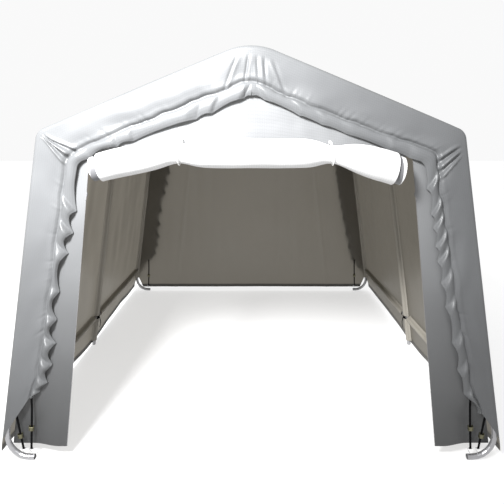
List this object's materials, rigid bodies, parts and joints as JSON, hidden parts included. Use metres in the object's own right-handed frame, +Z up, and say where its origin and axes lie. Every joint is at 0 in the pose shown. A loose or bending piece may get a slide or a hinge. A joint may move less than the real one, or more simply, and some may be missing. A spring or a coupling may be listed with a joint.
{
  "type": "storage tent",
  "caption": "Gabled storage tent on a steel tube frame: grey sheet cover with gathered front hem, rolled-up door and strapped corner legs.",
  "frame": {"origin": "on the ground, in the middle of the footprint", "axes": "+Y from the door to the rear wall along the ridge, +Z up, +X to the right seen from the door side"},
  "size_m": [2.3912, 2.5436, 1.9831],
  "materials": {
    "sheet_outside": "coated woven sheet, soft sheen",
    "sheet_inside": "coated woven sheet, seen from inside",
    "white_sheet": "white back of the coated sheet",
    "tube_paint": "glossy white powder coat",
    "sleeve_paint": "satin white powder coat",
    "cord": "braided cord",
    "webbing": "black woven webbing",
    "plated": "plated steel",
    "wire": "bright plated wire"
  },
  "bodies": {
    "tent": {"buckle_left_inner": "plated", "buckle_left_outer": "plated", "buckle_right_inner": "plated", "buckle_right_outer": "plated", "canopy_flap_front": "sheet_outside", "canopy_flap_rear": "sheet_outside", "canopy_roof_left": "sheet_outside", "canopy_roof_right": "sheet_outside", "canopy_side_left": "sheet_outside", "canopy_side_right": "sheet_outside", "door_roll": "white_sheet", "door_tie_1": "cord", "door_tie_2": "cord", "eave_purlin_front_left": "tube_paint", "eave_purlin_front_right": "tube_paint", "eave_purlin_rear_left": "tube_paint", "eave_purlin_rear_right": "tube_paint", "eave_sleeve_front_left": "sleeve_paint", "eave_sleeve_front_right": "sleeve_paint", "eave_sleeve_middle_left": "sleeve_paint", "eave_sleeve_middle_right": "sleeve_paint", "eave_sleeve_rear_left": "sleeve_paint", "eave_sleeve_rear_right": "sleeve_paint", "front_wall": "sheet_outside", "hook_left_inner": "wire", "hook_left_outer": "wire", "hook_right_inner": "wire", "hook_right_outer": "wire", "leg_front_left": "tube_paint", "leg_front_right": "tube_paint", "leg_middle_left": "tube_paint", "leg_middle_right": "tube_paint", "leg_rear_left": "tube_paint", "leg_rear_right": "tube_paint", "low_rail_front_left": "tube_paint", "low_rail_front_right": "tube_paint", "low_rail_rear_left": "tube_paint", "low_rail_rear_right": "tube_paint", "rafter_front_left": "tube_paint", "rafter_front_right": "tube_paint", "rafter_middle_left": "tube_paint", "rafter_middle_right": "tube_paint", "rafter_rear_left": "tube_paint", "rafter_rear_right": "tube_paint", "rear_wall": "sheet_inside", "ridge_purlin_front": "tube_paint", "ridge_purlin_rear": "tube_paint", "ridge_sleeve_front": "sleeve_paint", "ridge_sleeve_middle": "sleeve_paint", "ridge_sleeve_rear": "sleeve_paint", "strap_left_inner": "webbing", "strap_left_outer": "webbing", "strap_right_inner": "webbing", "strap_right_outer": "webbing"},
    "cam_lever_left_inner": {"lever_left_inner": "plated"},
    "cam_lever_left_outer": {"lever_left_outer": "plated"},
    "cam_lever_right_inner": {"lever_right_inner": "plated"},
    "cam_lever_right_outer": {"lever_right_outer": "plated"},
    "zip_slider_left": {"zip_slider_left": "plated"},
    "zip_slider_right": {"zip_slider_right": "plated"}
  },
  "joints": [
    {"name": "cam_lever_left_inner_hinge", "type": "hinge", "parent": "tent", "child": "cam_lever_left_inner", "pos_m": [-1.04683, -1.12061, 0.15846], "axis": [-0.9999, 0, 0.0115], "range_deg": [0, 75], "stiffness_Nm_per_rad": 0.02},
    {"name": "cam_lever_left_outer_hinge", "type": "hinge", "parent": "tent", "child": "cam_lever_left_outer", "pos_m": [-1.09921, -1.12061, 0.12242], "axis": [-0.9779, 0, -0.2092], "range_deg": [0, 75], "stiffness_Nm_per_rad": 0.02},
    {"name": "cam_lever_right_inner_hinge", "type": "hinge", "parent": "tent", "child": "cam_lever_right_inner", "pos_m": [1.04683, -1.12061, 0.15846], "axis": [-0.9999, 0, -0.0115], "range_deg": [0, 75], "stiffness_Nm_per_rad": 0.02},
    {"name": "cam_lever_right_outer_hinge", "type": "hinge", "parent": "tent", "child": "cam_lever_right_outer", "pos_m": [1.09921, -1.12061, 0.12242], "axis": [-0.9779, 0, 0.2092], "range_deg": [0, 75], "stiffness_Nm_per_rad": 0.02},
    {"name": "zip_slider_left_slide", "type": "slide", "parent": "tent", "child": "zip_slider_left", "axis": [-0.0769, 0, -0.997], "range_m": [0, 1.15]},
    {"name": "zip_slider_right_slide", "type": "slide", "parent": "tent", "child": "zip_slider_right", "axis": [0.0769, 0, -0.997], "range_m": [0, 1.15]}
  ]
}
